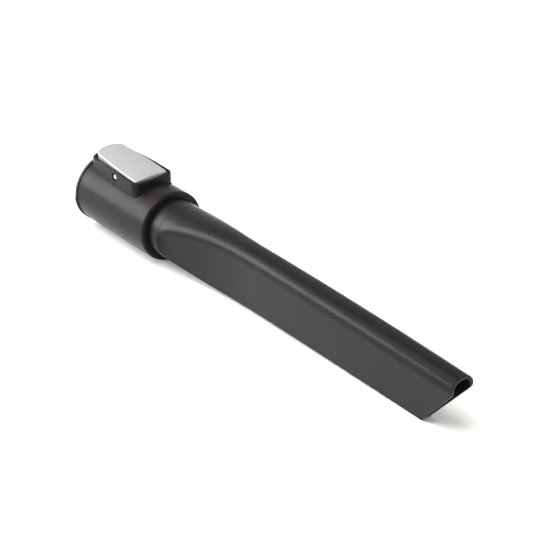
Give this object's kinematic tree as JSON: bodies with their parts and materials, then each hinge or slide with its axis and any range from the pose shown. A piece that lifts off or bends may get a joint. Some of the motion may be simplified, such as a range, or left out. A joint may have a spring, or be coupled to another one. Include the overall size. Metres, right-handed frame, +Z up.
{
  "type": "vacuum crevice tool",
  "caption": "Long narrow nozzle with a slanted slot mouth on a round coupling collar with a sprung rocker latch.",
  "frame": {"origin": "centre of the coupling's mouth, on the bore's axis at the rear face of the rim", "axes": "+X along the bore's axis towards the nozzle's tip, +Z up through the release button, +Y to the left seen from the rear"},
  "size_m": [0.318, 0.0468, 0.0544],
  "materials": {
    "nozzle": "satin moulded",
    "collar": "satin moulded",
    "liner": "satin moulded",
    "housing": "semi-gloss moulded",
    "button": "silver paint",
    "pin": "turned",
    "spring": "drawn wire"
  },
  "bodies": {
    "root": {"nozzle": "nozzle", "collar": "collar", "bore_liner": "liner", "latch_housing": "housing", "pivot_pin": "pin"},
    "button": {"release_button": "button", "return_spring": "spring"}
  },
  "joints": [
    {"name": "release", "type": "hinge", "parent": "root", "child": "button", "pos_m": [0.0337, 0, 0.0234], "axis": [0, -1, 0], "range_deg": [0, 6], "stiffness_Nm_per_rad": 1.2, "springref_deg": -4.58, "deforming": ["return_spring"]}
  ]
}
